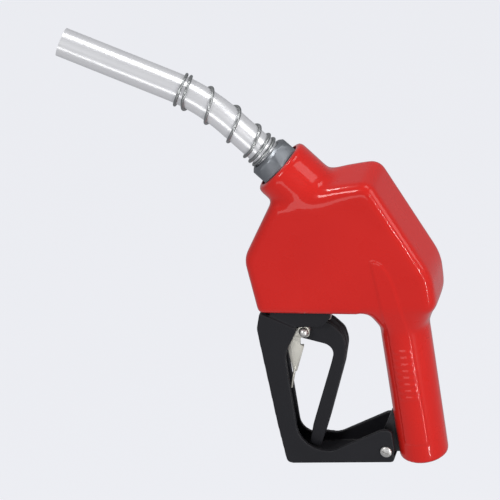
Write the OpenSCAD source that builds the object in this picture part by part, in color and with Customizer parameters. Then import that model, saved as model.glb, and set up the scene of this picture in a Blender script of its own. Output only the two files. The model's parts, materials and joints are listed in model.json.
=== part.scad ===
/* Automatic shut-off fuel nozzle.
   Origin: centre of the hose inlet, on the end face of the handle.
   +Z runs up the handle, the spout and the lever guard are on the -X side, Y is the thickness. */

/* [Handle and inlet] */
// Outer radius of the handle, over the vinyl cover
handle_r = 20.6; // [20:0.1:22]
// Thickness of the vinyl cover
cover_t = 2.3; // [2:0.1:2.6]
// Radius of the tapped hose inlet
inlet_r = 12.1; // [11.5:0.1:12.5]
// Depth of the tapped hose inlet
inlet_len = 20; // [16:1:22]
// Radius of the fuel passage in the handle
passage_r = 10.5; // [9:0.1:10.6]

/* [Body] */
// Thickness of the body, over the cover
body_w = 52; // [50:0.5:54]
// Rounding of the body's long edges
body_edge = 8; // [6:0.5:8]
// Half width of the opening under the body
well_half_w = 17.7; // [17.6:0.1:18]

/* [Spout] */
// Outer radius of the spout tube
spout_r = 11.9; // [11.5:0.1:11.9]
// Wall of the spout tube
spout_wall = 1.4; // [1.2:0.1:1.6]
// Slope of the neck above the horizontal
neck_slope = 49.5; // [47:0.5:52]
// Angle that the spout bends through
spout_bend = 22.8; // [18:0.2:26]
// Radius of the bend's centre line
bend_r = 140; // [120:5:160]
// Straight length from the neck's rim to the bend
rear_len = 52.7; // [50:0.1:56]
// Straight length from the bend to the tip
nose_len = 95.5; // [85:0.5:110]

/* [Lever guard] */
// Width of the lever guard
guard_w = 34; // [32:0.5:36]
// Wall of the lever guard
guard_t = 3.4; // [3:0.1:3.6]

/* [Lever] */
// Width of the lever
lever_w = 15; // [14:0.5:15]
// Travel of the main valve for one radian of the lever
stem_arm = 15.8; // [15.7:0.1:15.9]

/* [Hidden] */
$fn = 48;

red = "#c82a22";
black = "#26262a";
cast = "#a9abad";
steel = "#c9cbce";
brass = "#b9974a";
rubber = "#2b2b2b";

fit = 0.05;        // radial clearance of a running fit
seal_gap = 0.1;    // gap between a seal and the face it closes
eps = 0.01;
bead = 0.03;       // height of the faint bead where a pipe's bend ends
port_back = 17;    // distance of the air port from the spout's tip

// Neck: centre of the rim, on the spout's axis
neck_x = -84;
neck_z = 271.7;
neck_r = 25.5;
neck_depth = 46;
neck_bore_r = 16;
neck_bore_len = 40;

// Main valve: its axis leans away from the lever's pivot
valve_x = -64;
valve_z = 130;
valve_lean = 20;
stem_r = 2.5;
seat_at = 57;      // seat face, along the valve's axis
chamber_r = 17;
cap_at = 112;
inlet_chamber_r = 10;

// Trip plunger, lever pivot and latch stand on one vertical axis
pivot_x = -83;
pivot_z = 124;
pivot_r = 3;
well_r = 17.5;
well_floor = 148.4;
plunger_r = 4;
head_r = 8.5;
ball_r = 3;
ball_z = 194;
ball_out = 7.05;   // distance of a ball's centre from the axis when latched
ball_turns = [90, 210, 330];
diaphragm_z = 204;

// Guard screw near the hose end
lug_x = -28;
lug_z = 11;
screw_r = 2.5;

// The two screws at the top of the guard
top_screw_x = -103;
top_screw_y = 8.5;

cover_bottom = 146;
casting_bottom = cover_bottom + cover_t;

// ---------- outlines and sweeps ----------

function unit(v) = v / norm(v);
function flat(v) = [v[0], v[1]];

// Points of one rounded corner b, given as [x, z, radius], between its neighbours a and c
function corner(a, b, c, n) =
    let (u = unit(flat(a) - flat(b)), v = unit(flat(c) - flat(b)),
         half = acos(max(-1, min(1, u * v))) / 2,
         centre = flat(b) + unit(u + v) * b[2] / sin(half),
         p0 = flat(b) + u * b[2] / tan(half) - centre,
         p1 = flat(b) + v * b[2] / tan(half) - centre,
         a0 = atan2(p0[1], p0[0]),
         turn = atan2(p0[0] * p1[1] - p0[1] * p1[0], p0 * p1))
    [for (i = [0:n]) centre + b[2] * [cos(a0 + turn * i / n), sin(a0 + turn * i / n)]];

// Closed outline with every corner rounded
function rounded(c, n = 6) =
    [for (i = [0:len(c) - 1])
        each corner(c[(i + len(c) - 1) % len(c)], c[i], c[(i + 1) % len(c)], n)];

// Anticlockwise outline moved inwards by d
function inset(p, d) =
    [for (i = [0:len(p) - 1])
        let (a = p[(i + len(p) - 1) % len(p)], b = p[i], c = p[(i + 1) % len(p)],
             u = unit(b - a), v = unit(c - b), m = [-u[1], u[0]], n = [-v[1], v[0]])
        b + (m + n) * d / (1 + m * n)];

// Solid of an outline in XZ, w thick, with its long edges rounded by edge.
// The outline is seen whole from the point middle.
module pillow(outline, w, edge, middle, steps = 5) {
    n = len(outline);
    turn = [for (i = [0:steps]) 90 * i / steps];
    near = [for (a = turn) [-w / 2 + edge * (1 - cos(a)), edge * (1 - sin(a))]];
    far = [for (i = [steps:-1:0]) [-near[i][0], near[i][1]]];
    levels = concat(near, far);
    last = len(levels) - 1;
    pts = concat(
        [for (level = levels) each [for (p = inset(outline, level[1])) [p[0], level[0], p[1]]]],
        [[middle[0], -w / 2, middle[1]], [middle[0], w / 2, middle[1]]]);
    sides = [for (k = [0:last - 1], i = [0:n - 1])
        let (j = (i + 1) % n) [k * n + i, k * n + j, (k + 1) * n + j, (k + 1) * n + i]];
    ends = [for (i = [0:n - 1]) each
        let (j = (i + 1) % n)
        [[(last + 1) * n, j, i], [(last + 1) * n + 1, last * n + i, last * n + j]]];
    polyhedron(pts, concat(sides, ends));
}

// Tube of wire along points, with a ring of sides at each one
module wire(path, r, sides = 8) {
    n = len(path);
    along = [for (i = [0:n - 1]) unit(path[min(i + 1, n - 1)] - path[max(i - 1, 0)])];
    rings = [for (i = [0:n - 1])
        let (up = abs(along[i][1]) > 0.9 ? [1, 0, 0] : [0, 1, 0],
             u = unit(cross(along[i], up)), v = cross(along[i], u))
        each [for (k = [0:sides - 1])
            path[i] + r * (u * cos(360 * k / sides) + v * sin(360 * k / sides))]];
    pts = concat(rings, [path[0], path[n - 1]]);
    skin = [for (i = [0:n - 2], k = [0:sides - 1])
        let (m = (k + 1) % sides) each
        [[i * sides + k, i * sides + m, (i + 1) * sides + m],
         [i * sides + k, (i + 1) * sides + m, (i + 1) * sides + k]]];
    caps = [for (k = [0:sides - 1])
        let (m = (k + 1) % sides) each
        [[n * sides, m, k], [n * sides + 1, (n - 1) * sides + k, (n - 1) * sides + m]]];
    polyhedron(pts, concat(skin, caps));
}

// Helical spring on the Z axis from z0 to z1, wound on radius r, with closed end turns
module coil(z0, z1, r, wire_r, turns, steps = 16, sides = 6) {
    n = turns * steps;
    shut = steps;      // steps in each closed end turn
    span = z1 - z0 - 2 * wire_r;
    path = [for (i = [0:n])
        let (open = max(0, min(1, (i - shut) / (n - 2 * shut))),
             lift = 2.1 * wire_r * (min(i, shut) + max(0, i - n + shut)) / shut,
             z = z0 + wire_r + lift + (span - 4.2 * wire_r) * open)
        [r * cos(360 * i / steps), r * sin(360 * i / steps), z]];
    wire(path, wire_r, sides);
}

// Plate with an outline in XZ, from y0 to y1
module plate(points, y0, y1) {
    translate([0, y1, 0]) rotate([90, 0, 0]) linear_extrude(y1 - y0) polygon(points);
}

// Cylinder along Y through [x, z], from y0 to y1
module cross_pin(x, z, r, y0, y1) {
    translate([x, y1, z]) rotate([90, 0, 0]) cylinder(r = r, h = y1 - y0);
}

// Ring or turned piece from a profile of [radius, height] points
module turned(profile) {
    rotate_extrude() polygon(profile);
}

module ring(r_in, r_out, z0, z1) {
    turned([[r_in, z0], [r_out, z0], [r_out, z1], [r_in, z1]]);
}

module o_ring(r, section_r, z) {
    translate([0, 0, z]) rotate_extrude() translate([r, 0]) circle(section_r);
}

// Bar between z0 and z1
module bar(r, z0, z1) {
    translate([0, 0, z0]) cylinder(r = r, h = z1 - z0);
}

module hexagon(r, z0, z1) {
    translate([0, 0, z0]) cylinder(r = r, h = z1 - z0, $fn = 6);
}

// ---------- places ----------

module on_neck() {
    translate([neck_x, 0, neck_z]) rotate([0, neck_slope - 90, 0]) children();
}

module on_valve() {
    translate([valve_x, 0, valve_z]) rotate([0, valve_lean, 0]) children();
}

module on_well() {
    translate([pivot_x, 0, 0]) children();
}

// In the neck's frame: l along the spout's straight nose, +Z towards the tip
module at_nose(l) {
    translate([-bend_r, 0, rear_len]) rotate([0, -spout_bend, 0]) translate([bend_r, 0, l]) children();
}

// Point on a line at distance off from the spout's centre line, l along it, in the neck's frame
function bend_len() = bend_r * spout_bend * PI / 180;
function spout_turn(l) = max(0, min(spout_bend, (l - rear_len) / bend_r * 180 / PI));
function spout_point(l, off) =
    let (a = spout_turn(l), past = max(0, l - rear_len - bend_len()), straight = min(l, rear_len))
    [-bend_r * (1 - cos(a)) - past * sin(a) + off[0] * cos(a), off[1],
     straight + bend_r * sin(a) + past * cos(a) + off[0] * sin(a)];

// Tube that follows the spout at an offset x in its plane, from l = -start to end_len past the bend
module spout_pipe(r_out, r_in, start, end_len, x = 0) {
    translate([x, 0, -start]) ring(r_in, r_out, 0, start + rear_len);
    translate([-bend_r, 0, rear_len]) rotate([90, 0, 0]) rotate_extrude(angle = spout_bend)
        translate([bend_r + x, 0]) difference() {
            circle(r_out);
            if (r_in > 0) circle(r_in);
        }
    at_nose(0) translate([x, 0, 0]) {
        ring(r_in, r_out, 0, end_len);
        ring(r_in - bead, r_out + bead, -0.6, 0.6);
    }
}

// ---------- body ----------

// Side view of the body, over the cover, anticlockwise from the lower left corner
body_outline = rounded([
    [-116.5, cover_bottom + 1.5, 5], [33.5, cover_bottom - 5, 9], [33.4, 177, 45], [-6, 264, 12],
    [-37, 260.5, 30], [-89, 250, 10], [-120.6, 198, 22]
]);
body_middle = [-45, 200];

// The body's form, drawn in from the cover's surface by d
module body_form(d, low = 0) {
    pillow(inset(body_outline, d), body_w - 2 * d, body_edge - d / 2, body_middle);
    bar(handle_r - d, low, 160);
    on_neck() bar(neck_r - d, -neck_depth, -d);
}

// Blend of the handle into the body
module shoulder(d) {
    side = body_w / 2 - d - 0.3;
    hull() {
        bar(handle_r - d - 0.4, 126, 127);
        plate([[-27 + d, 144 + d], [29.5 - d, 144 + d], [29.5 - d, 160], [-27 + d, 160]],
            -body_w / 2 + body_edge, body_w / 2 - body_edge);
        plate([[-20, 152], [24, 152], [24, 160], [-20, 160]], -side, side);
    }
}

// Bores and chambers of the casting
module passages() {
    bar(inlet_r, -eps, inlet_len);
    bar(inlet_r - 0.6, inlet_len - eps, inlet_len + 2.4);
    bar(passage_r, inlet_len, 166);
    translate([0, 0, 164]) rotate([0, -90, 0]) cylinder(r = 8.5, h = 47);
    on_valve() {
        bar(5.6, 10, 23);
        bar(5, 10, 27);
        bar(stem_r + fit, 10, 31);
        bar(inlet_chamber_r, 30, seat_at - 5 + eps);
        bar(15, seat_at - 5, seat_at + eps);
        bar(chamber_r, seat_at, 150);
    }
    on_neck() {
        bar(neck_bore_r, -neck_bore_len, 1);
        bar(12, -76, -neck_bore_len + eps);
    }
    on_well() {
        bar(well_r, 140, diaphragm_z + 2);
        bar(14, diaphragm_z, 222);
    }
}

// Lug under the handle that carries the guard screw
lug_outline = rounded([[-34.5, 5, 4], [-16, 5, 1], [-16, 40, 1], [-23, 40, 3], [-34.5, 17, 5]], 4);

module body_casting() {
    color(cast) difference() {
        union() {
            difference() {
                body_form(cover_t);
                translate([-200, -50, 0]) cube([178, 100, casting_bottom]);
            }
            shoulder(cover_t);
            plate(lug_outline, -7, 7);
        }
        passages();
        cross_pin(lug_x, lug_z, screw_r + 0.1, -10, 10);
        for (y = [-1, 1] * top_screw_y)
            translate([top_screw_x, y, casting_bottom - 1]) cylinder(r = 1.7, h = 11);
    }
}

// Dipped vinyl cover over the casting
module hand_cover() {
    color(red) difference() {
        union() {
            body_form(0);
            shoulder(0);
        }
        union() {
            body_form(cover_t, -1);
            shoulder(cover_t);
        }
        on_neck() bar(20.4, -6, 5);
        plate(rounded([[-116, 130, 1], [-40, 130, 1], [-46, 152, 2], [-109, 152, 2]], 3),
            -well_half_w, well_half_w);
        plate([[-36, -1], [-15, -1], [-15, 42], [-36, 42]], -7.3, 7.3);
    }
}

module inlet_strainer() {
    color(brass) difference() {
        bar(inlet_r - 0.65, inlet_len + 0.2, inlet_len + 1.8);
        translate([0, 0, inlet_len - 1]) cylinder(r = 1, h = 4);
        for (k = [1:3], i = [1:6 * k])
            rotate([0, 0, 360 * i / (6 * k)]) translate([k * 3, 0, inlet_len - 1]) cylinder(r = 1, h = 4);
    }
}

// ---------- main valve ----------

module valve_seat_ring() {
    color(brass) on_valve()
        turned([[9.5, seat_at - 5], [14.95, seat_at - 5], [14.95, seat_at - 1], [11.5, seat_at - 1],
            [11, seat_at], [9.5, seat_at - 1]]);
}

module body_cap() {
    color(cast) on_valve() {
        difference() {
            bar(chamber_r - 0.05, cap_at, cap_at + 14);
            ring(5.2, 12, cap_at - 1, cap_at + 3);
            bar(2.6, cap_at - 1, cap_at + 10);
            o_ring(chamber_r, 1.1, cap_at + 8);
        }
        hexagon(13.5, cap_at + 14, cap_at + 19);
    }
}

module body_cap_seal() {
    color(rubber) on_valve() intersection() {
        o_ring(chamber_r, 1.05, cap_at + 8);
        bar(chamber_r - 0.06, cap_at, cap_at + 14);
    }
}

module stem_packing() {
    color(rubber) on_valve() ring(stem_r + seal_gap, 4.98, 23.1, 26.9);
}

module packing_nut() {
    color(brass) on_valve() difference() {
        union() {
            hexagon(6.4, 11.8, 16.8);
            bar(5.55, 16.7, 23);
        }
        bar(stem_r + fit, 11, 24);
    }
}

module valve_stem() {
    color(steel) on_valve() {
        bar(stem_r, 0.1, seat_at + 0.4);
        bar(2, seat_at + 0.3, seat_at + 22);
    }
}

module main_poppet() {
    color(brass) on_valve() {
        turned([[2.05, seat_at + 2.6], [13.6, seat_at + 2.6], [13.6, seat_at + 5.4], [8.4, seat_at + 7],
            [8.4, seat_at + 12], [2.05, seat_at + 12]]);
    }
}

module poppet_seal() {
    color(rubber) on_valve() ring(stem_r + 0.1, 13, seat_at + seal_gap, seat_at + 2.55);
}

module main_spring() {
    color(steel) on_valve() coil(seat_at + 7.2, cap_at + 2.9, 10, 0.95, 8);
}

// ---------- latch and trip plunger ----------

module latch_plug() {
    color(cast) on_well() difference() {
        bar(well_r - 0.05, well_floor, well_floor + 10);
        bar(plunger_r + fit, well_floor - 1, well_floor + 12);
        ring(5, 8.2, well_floor + 8, well_floor + 11);
        o_ring(well_r, 1.1, well_floor + 6);
        for (a = [0, 180]) rotate([0, 0, a]) translate([12.5, 0, well_floor - 1]) cylinder(r = 1.5, h = 4);
    }
}

module plug_seal() {
    color(rubber) on_well() intersection() {
        o_ring(well_r, 1.05, well_floor + 6);
        bar(well_r - 0.06, well_floor, well_floor + 10);
    }
}

module latch_sleeve() {
    color(cast) on_well() ring(13, well_r - 0.05, well_floor + 10, 183);
}

// Hardened ring: the balls rest on its cone
module latch_ring() {
    color(steel) on_well() turned([[head_r + 0.08, 183], [well_r - 0.05, 183], [well_r - 0.05, 199],
        [11.7, 199], [11.7, 197.2], [head_r + 0.08, 189.4]]);
}

module latch_ball(i) {
    color(steel) on_well() rotate([0, 0, ball_turns[i]]) translate([ball_out, 0, ball_z]) sphere(ball_r);
}

module latch_ball_1() { latch_ball(0); }
module latch_ball_2() { latch_ball(1); }
module latch_ball_3() { latch_ball(2); }

module trip_plunger() {
    color(steel) difference() {
        union() {
            on_well() {
                bar(plunger_r, pivot_z + 5, 184);
                bar(head_r, 183, 203);
            }
            cross_pin(pivot_x, pivot_z, 6, -3.8, 3.8);
            plate([[pivot_x - 4, pivot_z], [pivot_x + 4, pivot_z], [pivot_x + 4, pivot_z + 8],
                [pivot_x - 4, pivot_z + 8]], -3.8, 3.8);
        }
        on_well() {
            bar(4.1, 185.5, 204);
            for (a = ball_turns) rotate([0, 0, a]) translate([0, 0, ball_z]) rotate([0, 90, 0])
                cylinder(r = ball_r + fit, h = 12);
        }
        cross_pin(pivot_x, pivot_z, pivot_r + 0.02, -5, 5);
    }
}

module trip_spring() {
    color(steel) on_well() coil(well_floor + 8.1, 182.9, 6.4, 0.8, 7);
}

module diaphragm_clamp() {
    color(cast) on_well() ring(12, well_r - 0.05, 199, diaphragm_z);
}

module diaphragm() {
    color(rubber) on_well() turned([[2.6, diaphragm_z + 4], [8, diaphragm_z + 4], [12, diaphragm_z],
        [well_r - 0.1, diaphragm_z], [well_r - 0.1, diaphragm_z + 1.9], [12.8, diaphragm_z + 1.9],
        [8.8, diaphragm_z + 5.4], [2.6, diaphragm_z + 5.4]]);
}

module diaphragm_washers() {
    color(steel) on_well() {
        ring(2.55, 7.5, diaphragm_z + 2.4, diaphragm_z + 3.9);
        ring(2.55, 7.5, diaphragm_z + 5.5, diaphragm_z + 7);
    }
}

module latch_pin() {
    color(steel) on_well() turned([[0, 186.2], [2.05, 186.2], [3.95, 194.4], [3.95, 202],
        [2.5, 202], [2.5, diaphragm_z + 8.5], [0, diaphragm_z + 8.5]]);
}

module diaphragm_spring() {
    color(steel) on_well() coil(diaphragm_z + 7.1, 221.9, 5, 0.6, 5);
}

// ---------- lever ----------

lever_pad = [pivot_x + stem_arm * cos(valve_lean), pivot_z - stem_arm * sin(valve_lean)];
pad_r = (valve_x - pivot_x) * sin(valve_lean) + (valve_z - pivot_z) * cos(valve_lean);

lever_outline = rounded([
    [-91.5, 117, 5], [-83, 114.4, 30], [-60, 107, 9], [-65.4, 92, 60], [-89.7, 33, 60],
    [-95.8, 13.5, 3], [-87, 9.6, 3.6], [-76.4, 35, 60], [-56.2, 87, 60], [-50.6, 107, 24],
    [-52.2, 118.6, 12], [-59, 126.6, 4], [-67, 129, 8], [-84, 132.5, 7], [-92.5, 126, 6]
]);

module lever_profile() {
    polygon(lever_outline);
    intersection() {
        translate(lever_pad) circle(pad_r);
        translate([lever_pad[0] - 2, lever_pad[1]]) square(pad_r + 3);
    }
}

module lever() {
    groove = [2.6, 4.2];
    color(black) difference() {
        union() {
            translate([0, lever_w / 2, 0]) rotate([90, 0, 0]) linear_extrude(lever_w) intersection() {
                lever_profile();
                translate([-1, -0.4]) lever_profile();
            }
            for (y = [[-lever_w / 2, -groove[1]], [-groove[0], groove[0]], [groove[1], lever_w / 2]])
                translate([0, y[1], 0]) rotate([90, 0, 0]) linear_extrude(y[1] - y[0]) lever_profile();
        }
        cross_pin(pivot_x, pivot_z, pivot_r + fit, -10, 10);
        plate([[-95, 105], [-73.5, 105], [-73.5, 140], [-95, 140]], -4.1, 4.1);
    }
}

module pivot_pin() {
    head_y = -lever_w / 2 - 4.7;
    color(steel) difference() {
        union() {
            cross_pin(pivot_x, pivot_z, pivot_r, head_y, lever_w / 2 + 3);
            intersection() {
                translate([pivot_x, head_y, pivot_z]) sphere(4.3);
                cross_pin(pivot_x, pivot_z, 5, head_y - 4.3, head_y);
            }
        }
        translate([pivot_x, lever_w / 2 + 1.6, pivot_z]) rotate([90, 0, 0]) ring(2.4, 4, 0, 1);
    }
}

module pivot_retaining_ring() {
    color(steel) translate([pivot_x, lever_w / 2 + 1.55, pivot_z]) rotate([90, 0, 0]) difference() {
        ring(2.42, 5.4, 0, 0.9);
        translate([-1.6, 0, -1]) cube([3.2, 8, 3]);
    }
}

clip_outline = rounded([
    [-77.6, 128.5, 3.5], [-79, 119.2, 3.5], [-87, 118.6, 1.2], [-88, 111.8, 1.2], [-85, 110.6, 1],
    [-94.8, 86.5, 1], [-98, 87.5, 1], [-99.3, 112, 14], [-95.6, 122.5, 8], [-84.5, 129.5, 6]
], 4);

module hold_open_clip() {
    y1 = -lever_w / 2 - 2.9;
    color("#d9d6cc") difference() {
        union() {
            plate(clip_outline, y1 - 1.6, y1);
            plate([[-86.9, 110.9], [-85.6, 110.4], [-94.6, 88.2], [-95.9, 88.7]], y1 - 1.2, y1 + 2);
            translate([-95.4, y1 - 0.8, 92]) rotate([0, 197.5, 0]) bar(1.1, 0, 21.8);
        }
        cross_pin(pivot_x, pivot_z, pivot_r + fit, y1 - 4, y1 + 4);
    }
}

module clip_spring() {
    turns = 2;
    steps = 18;
    r = 4.2;
    y0 = -lever_w / 2 - 0.55;
    path = [for (i = [0:turns * steps])
        [r * cos(360 * i / steps), y0 - 0.9 * i / steps, r * sin(360 * i / steps)]];
    color(steel) translate([pivot_x, 0, pivot_z]) wire(path, 0.42, 6);
}

// ---------- lever guard ----------

guard_outline = rounded([
    [-117, 145, 1.5], [-121.6, 130, 12], [-118, 40, 80], [-115.2, 0, 5], [-22.6, 0, 2.5],
    [-22.6, 8, 1.5], [-20.9, 10, 1.5], [-20.9, 31, 4], [-30, 31, 6], [-74, 11.4, 18],
    [-102, 12, 24], [-101.2, 106, 30], [-87, 129, 3]
]);
guard_hollow = rounded([
    [-110, 148, 1], [-117.4, 129, 10], [-114.6, 40, 80], [-112, guard_t, 6], [-14, guard_t, 1],
    [-10, 34, 1], [-60, 60, 1], [-80, 150, 1]
]);
// The far cheek is narrower than the near one
far_cut = rounded([
    [-107.2, 118, 6], [-107.8, 10.6, 14], [-84, 11.2, 14], [-60, 60, 1], [-90, 118, 1]
]);
guard_yoke = rounded([
    [-109, 130, 1], [-66, 130, 5], [-58, 138, 4], [-56, 148, 1], [-109, 148, 1]
]);

module lever_guard() {
    half = guard_w / 2;
    color(black) difference() {
        union() {
            difference() {
                plate(guard_outline, -half, half);
                plate(guard_hollow, guard_t - half, half - guard_t);
                plate(far_cut, half - guard_t - 1, half + 1);
            }
            difference() {
                plate(guard_yoke, -half + 1.6, half - 1.6);
                translate([-106.4, guard_t + 1.6 - half, 120]) cube([80, guard_w - 2 * guard_t - 3.2, 24]);
            }
            for (s = [-1, 1]) cross_pin(lug_x, lug_z, 5.2, s > 0 ? 7.3 : -half + 1, s > 0 ? half - 1 : -7.3);
        }
        on_well() bar(plunger_r + 2.5, 120, 160);
        on_valve() bar(7.2, 6, 24);
        plate([[pivot_x, 120], [-58, 120], [-58, 160], [pivot_x, 160]], -6, 6);
        cross_pin(lug_x, lug_z, screw_r + 0.1, -half - 1, half + 1);
        for (y = [-1, 1] * top_screw_y) translate([top_screw_x, y, 130]) cylinder(r = 2, h = 30);
    }
}

module guard_top_screws() {
    color(steel) for (y = [-1, 1] * top_screw_y) translate([top_screw_x, y, 0]) {
        bar(1.65, 143, casting_bottom + 9);
        difference() {
            bar(3, 141.1, 143.9);
            translate([-4, -0.5, 140]) cube([8, 1, 2.2]);
        }
    }
}

module guard_screw() {
    half = guard_w / 2;
    color(steel) difference() {
        union() {
            cross_pin(lug_x, lug_z, screw_r, -half, half + 0.5);
            translate([lug_x, -half, lug_z]) rotate([90, 0, 0]) turned([[0, 0], [5, 0], [5, 1.4], [4, 2.6], [0, 3]]);
        }
        translate([lug_x, -half - 3, lug_z]) rotate([0, 35, 0]) cube([12, 2.4, 1.2], center = true);
    }
}

module guard_nut() {
    half = guard_w / 2;
    color(steel) difference() {
        translate([lug_x, half + 3.5, lug_z]) rotate([90, 0, 0]) cylinder(r = 4.6, h = 3.45, $fn = 6);
        cross_pin(lug_x, lug_z, screw_r, half, half + 2);
    }
}

// ---------- spout ----------

module check_seat_ring() {
    color(brass) on_neck() turned([[9, -neck_bore_len], [neck_bore_r - 0.05, -neck_bore_len],
        [neck_bore_r - 0.05, -35], [11.6, -35], [9, -37.5]]);
}

module check_poppet() {
    color(brass) on_neck() turned([[0, -38], [8.4, -38], [11.4, -34.9], [11.4, -32], [3.2, -30],
        [2, -30], [2, -13], [0, -13]]);
}

module check_spring() {
    color(steel) on_neck() coil(-29.8, -22.2, 4, 0.6, 4, 16);
}

module spout_adapter() {
    color(cast) on_neck() difference() {
        union() {
            difference() {
                union() {
                    bar(neck_bore_r - 0.05, -28, -1);
                    bar(13.8, -2, 11);
                }
                bar(12.2, -29, -14);
                bar(spout_r + 0.02, -14.6, 12);
            }
            bar(5.5, -22, -16);
            for (a = [30, 150, 270]) rotate([0, 0, a]) translate([4, -1.2, -22]) cube([9, 2.4, 6]);
        }
        bar(2 + fit, -30, -10);
        o_ring(neck_bore_r, 1.1, -7);
    }
}

module adapter_seal() {
    color(rubber) on_neck() intersection() {
        o_ring(neck_bore_r, 1.05, -7);
        bar(neck_bore_r - 0.06, -28, -1);
    }
}

// Clamp nut: a hexagon that widens towards the body, chamfered at the front
module spout_nut() {
    front = 13.6;
    color("#85888c") on_neck() difference() {
        intersection() {
            turned([[0, -1], [20.6, -1], [20.6, 1.5], [18.4, front - 2.6], [15.4, front], [0, front]]);
            linear_extrude(40, center = true) circle(20.6, $fn = 6);
        }
        bar(13.85, -2, 11.2);
        bar(spout_r + 0.1, -2, front + 1);
    }
}

module spout_tube() {
    inner = spout_r - spout_wall;
    color(steel) on_neck() difference() {
        spout_pipe(spout_r, inner, 14, nose_len);
        at_nose(nose_len - port_back) rotate([0, -90, 0]) cylinder(r = 2.65, h = 20);
    }
}

// Places of the anchor spring's turns along the spout, from the nut to its closed front turn
spring_stops = [[0, 15.1], [0.4, 16], [1.4, 20.6], [2.4, 26.6], [3.4, 47.2], [4.4, 72.6],
    [5.4, 95], [5.8, 97.8], [6.15, 99.6], [6.8, 101]];

module spout_spring() {
    wire_r = 1.25;
    steps = 26;
    start = 126;   // puts each stop's turn on the near side
    path = [for (i = [0:6.8 * steps])
        spout_point(lookup(i / steps, spring_stops),
            (spout_r + wire_r + 0.12) * [cos(360 * i / steps + start), sin(360 * i / steps + start)])];
    color("#8f9296") on_neck() wire(path, wire_r);
}

module vent_tube() {
    color(brass) on_neck() spout_pipe(2.3, 1.6, 15.8, nose_len - 14.2, -7.6);
}

module sensing_port() {
    color(brass) on_neck() at_nose(nose_len - port_back) rotate([0, -90, 0]) difference() {
        bar(2.6, spout_r - spout_wall - 0.55, spout_r - 0.15);
        bar(1.4, 8, 13);
    }
}

body_casting();
hand_cover();
inlet_strainer();
valve_seat_ring();
body_cap();
body_cap_seal();
stem_packing();
packing_nut();
main_spring();
valve_stem();
main_poppet();
poppet_seal();
latch_plug();
plug_seal();
latch_sleeve();
latch_ring();
latch_ball_1();
latch_ball_2();
latch_ball_3();
trip_plunger();
trip_spring();
diaphragm_clamp();
diaphragm();
diaphragm_washers();
latch_pin();
diaphragm_spring();
lever();
pivot_pin();
pivot_retaining_ring();
hold_open_clip();
clip_spring();
lever_guard();
guard_top_screws();
guard_screw();
guard_nut();
check_seat_ring();
check_poppet();
check_spring();
spout_adapter();
adapter_seal();
spout_nut();
spout_tube();
spout_spring();
vent_tube();
sensing_port();
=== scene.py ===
"""Looks of the automatic shut-off fuel nozzle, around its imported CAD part.

Shapes are in millimetres in the part's frame: +Z runs up the handle from the centre of the hose
inlet, the spout and the guard are on the -X side, and Y is the thickness. MM turns them to metres.
"""

import json
from math import cos, pi, radians, sin

import bmesh
import bpy
import numpy as np
from mathutils import Matrix, Vector


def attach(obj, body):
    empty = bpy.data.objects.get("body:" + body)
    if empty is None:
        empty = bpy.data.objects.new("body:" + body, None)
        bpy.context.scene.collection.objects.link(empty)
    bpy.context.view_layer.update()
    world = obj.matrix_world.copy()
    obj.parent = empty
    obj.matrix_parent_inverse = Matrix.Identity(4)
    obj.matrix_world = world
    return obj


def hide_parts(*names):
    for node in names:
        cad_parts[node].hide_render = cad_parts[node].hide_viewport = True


MM = 0.001
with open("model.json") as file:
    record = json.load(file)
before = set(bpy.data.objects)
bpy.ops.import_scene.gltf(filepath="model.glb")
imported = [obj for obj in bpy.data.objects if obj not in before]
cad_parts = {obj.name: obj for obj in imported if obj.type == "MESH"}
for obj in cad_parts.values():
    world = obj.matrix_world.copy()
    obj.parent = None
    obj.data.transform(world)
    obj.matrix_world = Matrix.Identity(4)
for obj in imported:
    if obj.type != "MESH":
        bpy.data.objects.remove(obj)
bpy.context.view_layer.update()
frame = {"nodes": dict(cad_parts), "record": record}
nodes = frame["nodes"]

# ---------- sizes, as in the CAD part ----------

HANDLE_R = 20.6
COVER_T = 2.3
BODY_W = 52.0
BODY_EDGE = 8.0
NECK = (-84.0, 271.7)      # centre of the neck's rim
NECK_R = 25.5
NECK_SLOPE = 49.5
SPOUT_R = 11.9
SPOUT_BEND = 22.8
BEND_R = 140.0
REAR_LEN = 52.7
PIVOT = (-83.0, 124.0)
PIVOT_R = 3.0
PIVOT_HEAD_R = 4.3
LEVER_W = 15.0
SCREW = (-28.0, 11.0)
SCREW_R = 2.5
SCREW_HEAD_R = 5.0
GUARD_HALF_W = 17.0

# Side view of the body over the cover: x, z and corner radius
BODY_OUTLINE = [
    (-116.5, 147.5, 5), (33.5, 141.0, 9), (33.4, 177.0, 45), (-6.0, 264.0, 12),
    (-37.0, 260.5, 30), (-89.0, 250.0, 10), (-120.6, 198.0, 22),
]
SHOULDER = [(-27.0, 144.0), (29.5, 144.0), (29.5, 160.0), (-27.0, 160.0)]
SHOULDER_START = 126.0     # height at which the handle begins to widen

# Openings of the cover: over the top of the guard and around the casting's lug
GUARD_POCKET = [(-116, 130, 1), (-40, 130, 1), (-46, 152, 2), (-109, 152, 2)]
LUG_SLOT = [(-36, -1), (-15, -1), (-15, 42), (-36, 42)]
CLEARANCE = 0.7            # between the cover and the guard
LUG_SLOT_HALF_W = 7.3
NECK_BORE_R = 20.4
COVER_VOXEL = 1.1


# ---------- geometry helpers ----------

def unit(v):
    return v / np.linalg.norm(v)


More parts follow.
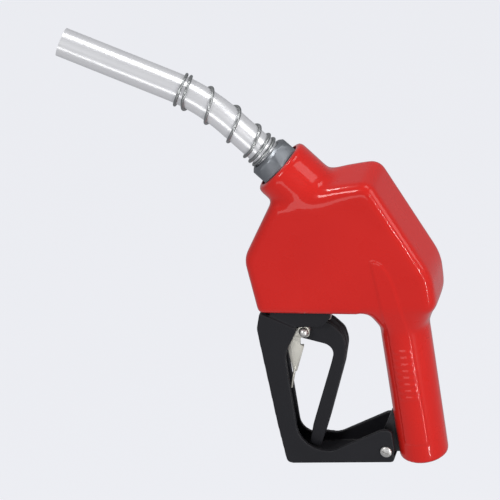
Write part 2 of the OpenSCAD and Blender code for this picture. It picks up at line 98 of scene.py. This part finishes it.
def rounded(corners, steps=8):
    """Closed outline with every corner (x, z, radius) rounded."""
    points = []
    for i, (x, z, r) in enumerate(corners):
        b = np.array([x, z])
        u = unit(np.array(corners[i - 1][:2]) - b)
        v = unit(np.array(corners[(i + 1) % len(corners)][:2]) - b)
        half = np.arccos(np.clip(u @ v, -1, 1)) / 2
        centre = b + unit(u + v) * r / sin(half)
        p0 = b + u * r / np.tan(half) - centre
        p1 = b + v * r / np.tan(half) - centre
        start = np.arctan2(p0[1], p0[0])
        turn = np.arctan2(p0[0] * p1[1] - p0[1] * p1[0], p0 @ p1)
        for k in range(steps + 1):
            a = start + turn * k / steps
            points.append(centre + r * np.array([cos(a), sin(a)]))
    return np.array(points)


def inset(points, d):
    """Anticlockwise outline moved inwards by d."""
    u = np.roll(points, -1, 0) - points
    u /= np.linalg.norm(u, axis=1)[:, None]
    before = np.roll(u, 1, 0)
    m = np.stack([-before[:, 1], before[:, 0]], 1)
    n = np.stack([-u[:, 1], u[:, 0]], 1)
    return points + (m + n) * d / (1 + (m * n).sum(1))[:, None]


def loft(bm, rings):
    """Closed skin over rings of points, with a flat end on the first and the last."""
    made = [[bm.verts.new(Vector(p) * MM) for p in ring] for ring in rings]
    for a, b in zip(made, made[1:]):
        for i in range(len(a)):
            j = (i + 1) % len(a)
            bm.faces.new((a[i], a[j], b[j], b[i]))
    bm.faces.new(made[0][::-1])
    bm.faces.new(made[-1])


def turned(bm, profile, place, steps=96):
    """Turned solid: a profile of (radius, height) points swept about place's Z axis."""
    loft(bm, [[place @ Vector((r * cos(2 * pi * k / steps), r * sin(2 * pi * k / steps), h))
               for k in range(steps)] for r, h in profile])


def prism(bm, outline, y0, y1):
    """Flat-sided solid of an outline in XZ, from y0 to y1."""
    loft(bm, [[(x, y, z) for x, z in outline] for y in (y0, y1)])


def mesh_from(bm, name):
    bmesh.ops.recalc_face_normals(bm, faces=bm.faces)
    mesh = bpy.data.meshes.new(name)
    bm.to_mesh(mesh)
    bm.free()
    return mesh


def show(mesh, name):
    obj = bpy.data.objects.new(name, mesh)
    bpy.context.scene.collection.objects.link(obj)
    return obj


def apply_modifiers(obj):
    """Bakes the modifiers of obj into its mesh."""
    bpy.context.view_layer.update()
    mesh = bpy.data.meshes.new_from_object(obj.evaluated_get(bpy.context.evaluated_depsgraph_get()))
    obj.modifiers.clear()
    obj.data = mesh


def remesh(obj, size):
    modifier = obj.modifiers.new("remesh", "REMESH")
    modifier.mode = "VOXEL"
    modifier.voxel_size = size * MM
    apply_modifiers(obj)


def relax(obj, times, where=None):
    """Moves each vertex towards the middle of its neighbours, by the weights of where(points in mm)."""
    mesh = obj.data
    co = np.empty(len(mesh.vertices) * 3)
    mesh.vertices.foreach_get("co", co)
    co = co.reshape(-1, 3)
    edges = np.empty(len(mesh.edges) * 2, int)
    mesh.edges.foreach_get("vertices", edges)
    a, b = edges.reshape(-1, 2).T
    count = np.bincount(a, minlength=len(co)) + np.bincount(b, minlength=len(co))
    weight = 0.5 if where is None else 0.5 * where(co / MM)[:, None]
    for _ in range(times):
        total = np.zeros_like(co)
        for k in range(3):
            total[:, k] = np.bincount(a, co[b, k], len(co)) + np.bincount(b, co[a, k], len(co))
        co += weight * (total / count[:, None] - co)
    mesh.vertices.foreach_set("co", co.ravel())
    mesh.update()


def cut(obj, cutter_bm):
    """Takes the cutter's solids out of obj."""
    cutter = show(mesh_from(cutter_bm, "cutter"), "cutter")
    modifier = obj.modifiers.new("cut", "BOOLEAN")
    modifier.operation = "DIFFERENCE"
    modifier.solver = "EXACT"
    modifier.use_self = True
    modifier.object = cutter
    apply_modifiers(obj)
    bpy.data.objects.remove(cutter)


def smooth(obj, angle=35):
    """Smooth shading, apart from edges sharper than angle."""
    obj.data.shade_smooth()
    obj.data.set_sharp_from_angle(angle=radians(angle))


def copy_of(node, name):
    """New object with a cleaned copy of a CAD node's surface, flat areas as single faces."""
    bm = bmesh.new()
    bm.from_mesh(nodes[node].data)
    bmesh.ops.remove_doubles(bm, verts=bm.verts, dist=0.002 * MM)
    bmesh.ops.dissolve_limit(bm, angle_limit=radians(1), verts=bm.verts, edges=bm.edges)
    return show(mesh_from(bm, name), name)


def bevelled(node, name, width):
    """Copy of a CAD node with its edges broken by a small bevel."""
    obj = copy_of(node, name)
    modifier = obj.modifiers.new("bevel", "BEVEL")
    modifier.width = width * MM
    modifier.segments = 3
    modifier.limit_method = "ANGLE"
    modifier.angle_limit = radians(35)
    apply_modifiers(obj)
    smooth(obj, 40)
    return obj


def moulded(node, name, size, times):
    """Copy of a CAD node with the soft edges of a moulding."""
    obj = copy_of(node, name)
    remesh(obj, size)
    relax(obj, times)
    obj.data.shade_smooth()
    return obj


def dress(obj, body, slot, replaced):
    """Puts a new piece on its body, in its slot's material, for the CAD node that it replaces."""
    obj.data.materials.clear()
    obj.data.materials.append(finishes[slot])
    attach(obj, body)
    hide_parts(replaced)


# ---------- materials ----------

class Shader:
    """Principled material whose colour, roughness and bump come from node textures."""

    def __init__(self, name):
        self.material = bpy.data.materials.new(name)
        self.material.use_nodes = True
        self.tree = self.material.node_tree
        self.bsdf = self.tree.nodes["Principled BSDF"]
        self.place = self.tree.nodes.new("ShaderNodeTexCoord").outputs["Object"]

    def set(self, **values):
        for key, value in values.items():
            self.bsdf.inputs[key.replace("_", " ")].default_value = value
        return self

    def node(self, kind, **inputs):
        made = self.tree.nodes.new(kind)
        for key, value in inputs.items():
            made.inputs[key.replace("_", " ")].default_value = value
        return made

    def link(self, output, target):
        self.tree.links.new(output, target)

    def noise(self, scale, stretch=(1, 1, 1), turn=0.0, detail=4.0):
        """Noise of so many cells to a metre, stretched along axes turned about Y."""
        mapping = self.node("ShaderNodeMapping", Scale=stretch, Rotation=(0, radians(turn), 0))
        made = self.node("ShaderNodeTexNoise", Scale=scale, Detail=detail)
        self.link(self.place, mapping.inputs["Vector"])
        self.link(mapping.outputs["Vector"], made.inputs["Vector"])
        return made.outputs["Fac"]

    def spread(self, value, low, high, source=(0.3, 0.7)):
        made = self.node("ShaderNodeMapRange")
        made.inputs["From Min"].default_value, made.inputs["From Max"].default_value = source
        made.inputs["To Min"].default_value, made.inputs["To Max"].default_value = low, high
        self.link(value, made.inputs["Value"])
        return made.outputs["Result"]

    def blend(self, factor, a, b):
        made = self.tree.nodes.new("ShaderNodeMix")
        made.data_type = "RGBA"
        self.link(factor, made.inputs["Factor"])
        for colour, socket in ((a, made.inputs[6]), (b, made.inputs[7])):
            if isinstance(colour, tuple):
                socket.default_value = (*colour, 1)
            else:
                self.link(colour, socket)
        return made.outputs[2]

    def colour(self, output):
        self.link(output, self.bsdf.inputs["Base Color"])
        return self

    def rough(self, output):
        self.link(output, self.bsdf.inputs["Roughness"])
        return self

    def bump(self, height, depth, strength=1.0):
        made = self.node("ShaderNodeBump", Strength=strength, Distance=depth * MM)
        self.link(height, made.inputs["Height"])
        if self.bsdf.inputs["Normal"].links:
            self.link(self.bsdf.inputs["Normal"].links[0].from_socket, made.inputs["Normal"])
        self.link(made.outputs["Normal"], self.bsdf.inputs["Normal"])
        return self

    def edges(self, low, high):
        """0 on flat areas and 1 on worn convex edges."""
        geometry = self.tree.nodes.new("ShaderNodeNewGeometry")
        return self.spread(geometry.outputs["Pointiness"], 0, 1, (low, high))


def vinyl():
    s = Shader("dipped_vinyl")
    s.set(Coat_Weight=0.8, Coat_Roughness=0.025, Coat_IOR=1.34, Specular_IOR_Level=0.1)
    patches = s.spread(s.noise(14), 0, 1)
    s.colour(s.blend(patches, (0.61, 0.017, 0.012), (0.57, 0.014, 0.010)))
    s.rough(s.spread(s.noise(60, detail=6), 0.24, 0.36))
    s.bump(s.noise(40, detail=1), 0.05, 0.2)
    s.bump(s.noise(700, detail=2), 0.004, 0.3)
    return s.material


def black_plastic(name, grain):
    s = Shader(name).set(Specular_IOR_Level=0.25)
    worn = s.blend(s.edges(0.52, 0.6), (0.013, 0.013, 0.016), (0.04, 0.04, 0.044))
    s.colour(s.blend(s.spread(s.noise(25), 0, 0.5), worn, (0.009, 0.009, 0.011)))
    s.rough(s.spread(s.noise(120, detail=6), 0.42, 0.6))
    s.bump(s.noise(1500, detail=3), grain, 0.7)
    return s.material


def metal(name, light, dark, rough, turn=0.0, stretch=(1, 1, 1), scale=400, depth=0.01, cells=18,
          whole=1.0):
    """Metal with fine tool or drawing marks along the axes that stretch leaves long."""
    s = Shader(name).set(Metallic=whole)
    s.colour(s.blend(s.spread(s.noise(cells), 0, 1), light, dark))
    marks = s.noise(scale, stretch, turn, detail=2)
    s.rough(s.spread(marks, *rough))
    s.bump(marks, depth, 0.6)
    return s.material


def cast_metal():
    s = Shader("cast_aluminium").set(Metallic=1.0)
    s.colour(s.blend(s.spread(s.noise(30), 0, 1), (0.085, 0.085, 0.09), (0.055, 0.055, 0.06)))
    s.rough(s.spread(s.noise(200), 0.42, 0.6))
    s.bump(s.noise(1100, detail=6), 0.08, 0.6)
    return s.material


def rubber_like():
    s = Shader("seal_rubber").set(Specular_IOR_Level=0.4)
    s.colour(s.blend(s.spread(s.noise(60), 0, 1), (0.022, 0.022, 0.023), (0.035, 0.035, 0.036)))
    s.rough(s.spread(s.noise(300), 0.6, 0.8))
    s.bump(s.noise(1800), 0.02, 0.6)
    return s.material


NOSE_TILT = NECK_SLOPE - SPOUT_BEND   # slope of the spout's nose above the horizontal
finishes = {
    "vinyl": vinyl(),
    "guard": black_plastic("guard_plastic", 0.05),
    "lever": black_plastic("lever_plastic", 0.03),
    "spout": metal("turned_aluminium", (0.95, 0.95, 0.96), (0.89, 0.89, 0.91), (0.28, 0.30),
                   turn=NOSE_TILT, stretch=(40, 1, 1), scale=60, depth=0.0001, whole=0.7),
    "nut": metal("nut_aluminium", (0.27, 0.285, 0.305), (0.22, 0.235, 0.255), (0.36, 0.48),
                 scale=700, depth=0.02),
    "spring_wire": metal("spring_wire", (0.40, 0.41, 0.41), (0.28, 0.29, 0.29), (0.3, 0.42),
                         scale=500, depth=0.004),
    "steel": metal("plated_steel", (0.70, 0.69, 0.67), (0.60, 0.59, 0.57), (0.36, 0.48),
                   scale=600, depth=0.003),
    "clip": metal("clip_steel", (0.80, 0.78, 0.71), (0.70, 0.68, 0.60), (0.38, 0.52),
                  stretch=(8, 8, 1), scale=150, depth=0.015),
    "brass": metal("machined_brass", (0.62, 0.46, 0.20), (0.52, 0.37, 0.15), (0.25, 0.4), scale=500),
    "cast": cast_metal(),
    "rubber": rubber_like(),
}


# ---------- vinyl cover ----------

def cover_form():
    """Outside of the cover before its openings, in overlapping solids."""
    bm = bmesh.new()
    outline = rounded(BODY_OUTLINE)
    side = [(-BODY_W / 2 + BODY_EDGE * (1 - cos(a)), BODY_EDGE * (1 - sin(a)))
            for a in np.linspace(0, pi / 2, 8)]
    levels = side + [(-y, d) for y, d in reversed(side)]
    loft(bm, [[(x, y, z) for x, z in inset(outline, d)] for y, d in levels])
    turned(bm, [(HANDLE_R - 2.2, 0), (HANDLE_R - 0.6, 0.6), (HANDLE_R, 2.4), (HANDLE_R, 160)],
           Matrix.Identity(4))
    turned(bm, [(NECK_R, -46), (NECK_R, -3.2), (NECK_R - 0.7, -1.1), (NECK_R - 2.4, 0)], on_neck)
    return bm


def shoulder_form():
    """Blend of the handle into the body, as the hull of a ring and two slabs."""
    bm = bmesh.new()
    ring = [(HANDLE_R * cos(a), HANDLE_R * sin(a), SHOULDER_START)
            for a in np.linspace(0, 2 * pi, 64, False)]
    half = BODY_W / 2
    wide = [(x, y, z) for x, z in SHOULDER for y in (BODY_EDGE - half, half - BODY_EDGE)]
    upper = [(x, y, z) for x in (-20, 24) for z in (152, 160) for y in (0.3 - half, half - 0.3)]
    for p in ring + wide + upper:
        bm.verts.new(Vector(p) * MM)
    hull = bmesh.ops.convex_hull(bm, input=bm.verts)
    loose = {e for e in hull["geom_interior"] + hull["geom_unused"] if isinstance(e, bmesh.types.BMVert)}
    bmesh.ops.delete(bm, geom=list(loose), context="VERTS")
    return bm


def near_blends(p):
    """Weights of extra smoothing: where the handle and the neck grow out of the body."""
    lower = np.exp(-((p[:, 2] - 140) / 14) ** 2) * (np.hypot(p[:, 0], p[:, 1]) < 40)
    top = np.exp(-((p[:, 0] + 55) / 22) ** 2 - ((p[:, 2] - 256) / 14) ** 2)
    front = np.exp(-((p[:, 0] + 96) / 10) ** 2 - ((p[:, 2] - 243) / 10) ** 2)
    return np.clip(lower + top + 0.15 * front, 0, 1)


def raise_pads(obj):
    """Raised pad with plain ribs along each side of the handle, arched where it runs onto the body."""
    mesh = obj.data
    co = np.empty(len(mesh.vertices) * 3)
    mesh.vertices.foreach_get("co", co)
    co = co.reshape(-1, 3)
    x, y, z = (co / MM).T
    right = np.interp(z, [30, 120, 170, 184, 192, 196], [10.5, 9, 3.5, 0, -4.5, -10])
    left = np.interp(z, [30, 120, 170, 196], [-11, -11, -13, -15])
    inside = np.minimum(right - x, x - left)
    ends = np.minimum(z - 18, 196 - z)
    pad = np.clip(inside / 1.6, 0, 1) * np.clip(ends / 1.6, 0, 1)
    ribs = np.clip((inside - 2.4) / 1.2, 0, 1) * np.clip((25 - np.abs(z - 86)) / 1.2, 0, 1)
    ribs *= 0.5 - 0.5 * np.cos(2 * pi * (z - 61) / 6.25)
    radius = np.maximum(np.hypot(x, y), 1)
    skin = np.where(z < 140, radius > HANDLE_R - 1.2, np.abs(y) > 19)
    lift = (0.55 * pad + 0.45 * ribs) * skin
    up = np.clip((z - 120) / 30, 0, 1)
    co[:, 0] += lift * (1 - up) * x / radius * MM
    co[:, 1] += lift * ((1 - up) * y / radius + up * np.sign(y)) * MM
    mesh.vertices.foreach_set("co", co.ravel())
    mesh.update()


def make_cover():
    form = cover_form()
    blend_mesh = mesh_from(shoulder_form(), "shoulder")
    form.from_mesh(blend_mesh)
    obj = show(mesh_from(form, "hand_cover_skin"), "hand_cover_skin")
    remesh(obj, COVER_VOXEL)
    relax(obj, 8)
    relax(obj, 120, near_blends)
    raise_pads(obj)
    openings = bmesh.new()
    turned(openings, [(HANDLE_R - COVER_T, -2), (HANDLE_R - COVER_T, 12)], Matrix.Identity(4))
    turned(openings, [(NECK_BORE_R, -6), (NECK_BORE_R, 6)], on_neck)
    pocket = GUARD_HALF_W + CLEARANCE
    prism(openings, rounded(GUARD_POCKET, 3), -pocket, pocket)
    prism(openings, LUG_SLOT, -LUG_SLOT_HALF_W, LUG_SLOT_HALF_W)
    cut(obj, openings)
    smooth(obj, 45)
    return obj


# ---------- anchor spring ----------

# Turns of the spring, and how far along the spout each one lies
SPRING_STOPS = [(0, 15.1), (0.4, 16), (1.4, 20.6), (2.4, 26.6), (3.4, 47.2), (4.4, 72.6),
                (5.4, 95), (5.8, 97.8), (6.15, 99.6), (6.8, 101)]


def spout_point(along, x, y):
    """Point beside the spout's centre line, in the part's frame."""
    bend = radians(SPOUT_BEND)
    a = min(max((along - REAR_LEN) / BEND_R, 0), bend)
    past = max(0, along - REAR_LEN - BEND_R * bend)
    return on_neck @ Vector((-BEND_R * (1 - cos(a)) - past * sin(a) + x * cos(a), y,
                             min(along, REAR_LEN) + BEND_R * sin(a) + past * cos(a) + x * sin(a)))


def make_spring():
    wire_r = 1.25
    reach = SPOUT_R + wire_r + 0.12
    turns, places = zip(*SPRING_STOPS)
    steps = 48
    start = radians(126)   # puts each stop's turn on the near side
    curve = bpy.data.curves.new("anchor_spring", "CURVE")
    curve.dimensions = "3D"
    curve.bevel_depth = wire_r * MM
    curve.bevel_resolution = 5
    curve.use_fill_caps = True
    spline = curve.splines.new("POLY")
    count = round(turns[-1] * steps) + 1
    spline.points.add(count - 1)
    for i in range(count):
        a = 2 * pi * i / steps + start
        p = spout_point(np.interp(i / steps, turns, places), reach * cos(a), reach * sin(a))
        spline.points[i].co = (*(p * MM), 1)
    spline.use_smooth = True
    obj = show(curve, "anchor_spring")
    mesh = bpy.data.meshes.new_from_object(obj.evaluated_get(bpy.context.evaluated_depsgraph_get()))
    bpy.data.objects.remove(obj)
    obj = show(mesh, "anchor_spring")
    smooth(obj, 50)
    return obj


# ---------- pins and screws ----------

def towards_near(place):
    """Frame at an (x, z) place whose Z axis points out of the near side."""
    return Matrix.Translation((place[0], 0, place[1])) @ Matrix.Rotation(radians(90), 4, "X")


def make_pivot_pin():
    """Pin with a ball head on the near side and a ring groove on the far side."""
    side = LEVER_W / 2
    head = side + 4.7
    end = -side - 3
    groove_r, groove_start, groove_end = 2.4, -side - 1.6, -side - 0.6
    dome = [(PIVOT_HEAD_R * cos(a), head + PIVOT_HEAD_R * sin(a)) for a in np.linspace(0, 1.5, 14)]
    bm = bmesh.new()
    turned(bm, [(PIVOT_R - 0.4, end), (PIVOT_R, end + 0.4), (PIVOT_R, groove_start), (groove_r, groove_start),
                (groove_r, groove_end), (PIVOT_R, groove_end), (PIVOT_R, head)] + dome, towards_near(PIVOT))
    obj = show(mesh_from(bm, "pivot_pin_turned"), "pivot_pin_turned")
    smooth(obj)
    return obj


def make_guard_screw():
    """Screw with a low domed head and a slot that has come to rest on the slant."""
    top = GUARD_HALF_W + 3
    rise = 1.9
    slot_len, slot_w, slot_depth = 12, 1.2, 1.2
    dome = [(SCREW_HEAD_R * cos(a), top - rise + rise * sin(a)) for a in np.linspace(0, 1.5, 12)]
    bm = bmesh.new()
    turned(bm, [(SCREW_R - 0.4, -GUARD_HALF_W - 0.5), (SCREW_R, -GUARD_HALF_W - 0.1),
                (SCREW_R, GUARD_HALF_W), (SCREW_HEAD_R - 0.2, GUARD_HALF_W)] + dome, towards_near(SCREW))
    obj = show(mesh_from(bm, "guard_screw_turned"), "guard_screw_turned")
    slant = radians(35)
    along = np.array([cos(slant), -sin(slant)]) * slot_len / 2
    across = np.array([sin(slant), cos(slant)]) * slot_w / 2
    slot_corners = (-along - across, along - across, along + across, across - along)
    slot = bmesh.new()
    prism(slot, [np.array(SCREW) + p for p in slot_corners], -top - 1, slot_depth - top)
    cut(obj, slot)
    smooth(obj)
    return obj


on_neck = Matrix.Translation((NECK[0], 0, NECK[1])) @ Matrix.Rotation(radians(NECK_SLOPE - 90), 4, "Y")

# The new pieces: the CAD node that each replaces, its object, body and material slot
new_pieces = {
    "hand_cover": (make_cover(), "nozzle_body", "vinyl"),
    "lever_guard": (moulded("lever_guard", "guard_moulding", 0.65, 5), "nozzle_body", "guard"),
    "lever": (moulded("lever", "lever_moulding", 0.45, 4), "lever", "lever"),
    "spout_spring": (make_spring(), "nozzle_body", "spring_wire"),
    "spout_nut": (bevelled("spout_nut", "clamp_nut", 0.3), "nozzle_body", "nut"),
    "hold_open_clip": (bevelled("hold_open_clip", "clip_plate", 0.25), "hold_open_clip", "clip"),
    "guard_screw": (make_guard_screw(), "nozzle_body", "steel"),
    "pivot_pin": (make_pivot_pin(), "trip_plunger", "steel"),
}
for replaced, (obj, body, slot) in new_pieces.items():
    dress(obj, body, slot, replaced)

for sub in frame["record"]["subparts"]:
    for place in nodes[sub["node"]].material_slots:
        place.material = finishes[sub["material_slot"]]

# ---------- floor, lights and camera ----------

FLOOR_Z = -1.4
BACKGROUND = (0.845, 0.855, 0.895)


def brighter_to_camera(tree, for_light, for_camera):
    """Strength of the studio's paper: less in the light that it gives than as the camera sees it."""
    seen = tree.nodes.new("ShaderNodeLightPath")
    strength = tree.nodes.new("ShaderNodeMapRange")
    strength.inputs["To Min"].default_value = for_light
    strength.inputs["To Max"].default_value = for_camera
    tree.links.new(seen.outputs["Is Camera Ray"], strength.inputs["Value"])
    return strength.outputs["Result"]


def make_floor():
    bm = bmesh.new()
    bmesh.ops.create_grid(bm, x_segments=8, y_segments=8, size=12)
    floor = show(mesh_from(bm, "floor"), "floor")
    floor.location.z = FLOOR_Z
    s = Shader("pale_floor").set(Roughness=0.95, Specular_IOR_Level=0.0)
    s.colour(s.blend(s.noise(3), (0.10, 0.10, 0.105), (0.11, 0.11, 0.115)))
    s.set(Emission_Color=(*BACKGROUND, 1))
    s.link(brighter_to_camera(s.tree, 0.36, 0.93), s.bsdf.inputs["Emission Strength"])
    floor.data.materials.append(s.material)


def softbox(name, place, aim, size, power, shape=(1, 1)):
    light = bpy.data.lights.new(name, "AREA")
    light.shape = "RECTANGLE"
    light.size, light.size_y = size * shape[0], size * shape[1]
    light.energy = power
    obj = bpy.data.objects.new(name, light)
    obj.location = place
    obj.visible_camera = False
    obj.rotation_euler = (Vector(aim) - Vector(place)).to_track_quat("-Z", "Y").to_euler()
    bpy.context.scene.collection.objects.link(obj)


def make_world():
    """Even studio light, brighter where the camera sees it past the floor."""
    world = bpy.data.worlds.new("studio")
    world.use_nodes = True
    tree = world.node_tree
    background = tree.nodes["Background"]
    background.inputs["Color"].default_value = (*BACKGROUND, 1)
    tree.links.new(brighter_to_camera(tree, 0.42, 1.0), background.inputs["Strength"])
    bpy.context.scene.world = world


AZIMUTH, ELEVATION, ROLL = radians(18.3), radians(26.7), radians(10)
TARGET = Vector((-0.1358, 0.0457, 0.1711))
DISTANCE = 2.5


def make_camera():
    back = Vector((sin(AZIMUTH) * cos(ELEVATION), -cos(AZIMUTH) * cos(ELEVATION), sin(ELEVATION)))
    level = Vector((cos(AZIMUTH), sin(AZIMUTH), 0))
    rise = back.cross(level)
    right = level * cos(ROLL) - rise * sin(ROLL)
    up = level * sin(ROLL) + rise * cos(ROLL)
    data = bpy.data.cameras.new("camera")
    data.sensor_width = 36
    data.lens = 215
    camera = bpy.data.objects.new("camera", data)
    turn = Matrix((right, up, back)).transposed().to_4x4()
    camera.matrix_world = Matrix.Translation(TARGET + back * DISTANCE) @ turn
    bpy.context.scene.collection.objects.link(camera)
    bpy.context.scene.camera = camera


make_floor()
softbox("key", (-1.2, -2.0, 1.7), (-0.1, 0, 0.15), 0.7, 23)
softbox("strip", (1.35, -1.7, -0.3), (-0.05, 0, 0.2), 1.0, 22, (0.06, 1.8))
softbox("top", (-1.2, 0.35, 2.1), (-0.05, 0, 0.25), 0.4, 14)
softbox("over_spout", (0.9, 0.0, 2.2), (-0.15, 0, 0.3), 0.9, 11)
softbox("under_spout", (-0.55, -2.2, -0.35), (-0.2, 0, 0.35), 1.0, 3.0, (1.0, 0.4))
softbox("side", (1.9, -0.5, 0.9), (0, 0, 0.2), 1.2, 14)
make_world()
bpy.context.scene.view_settings.view_transform = "Standard"
make_camera()
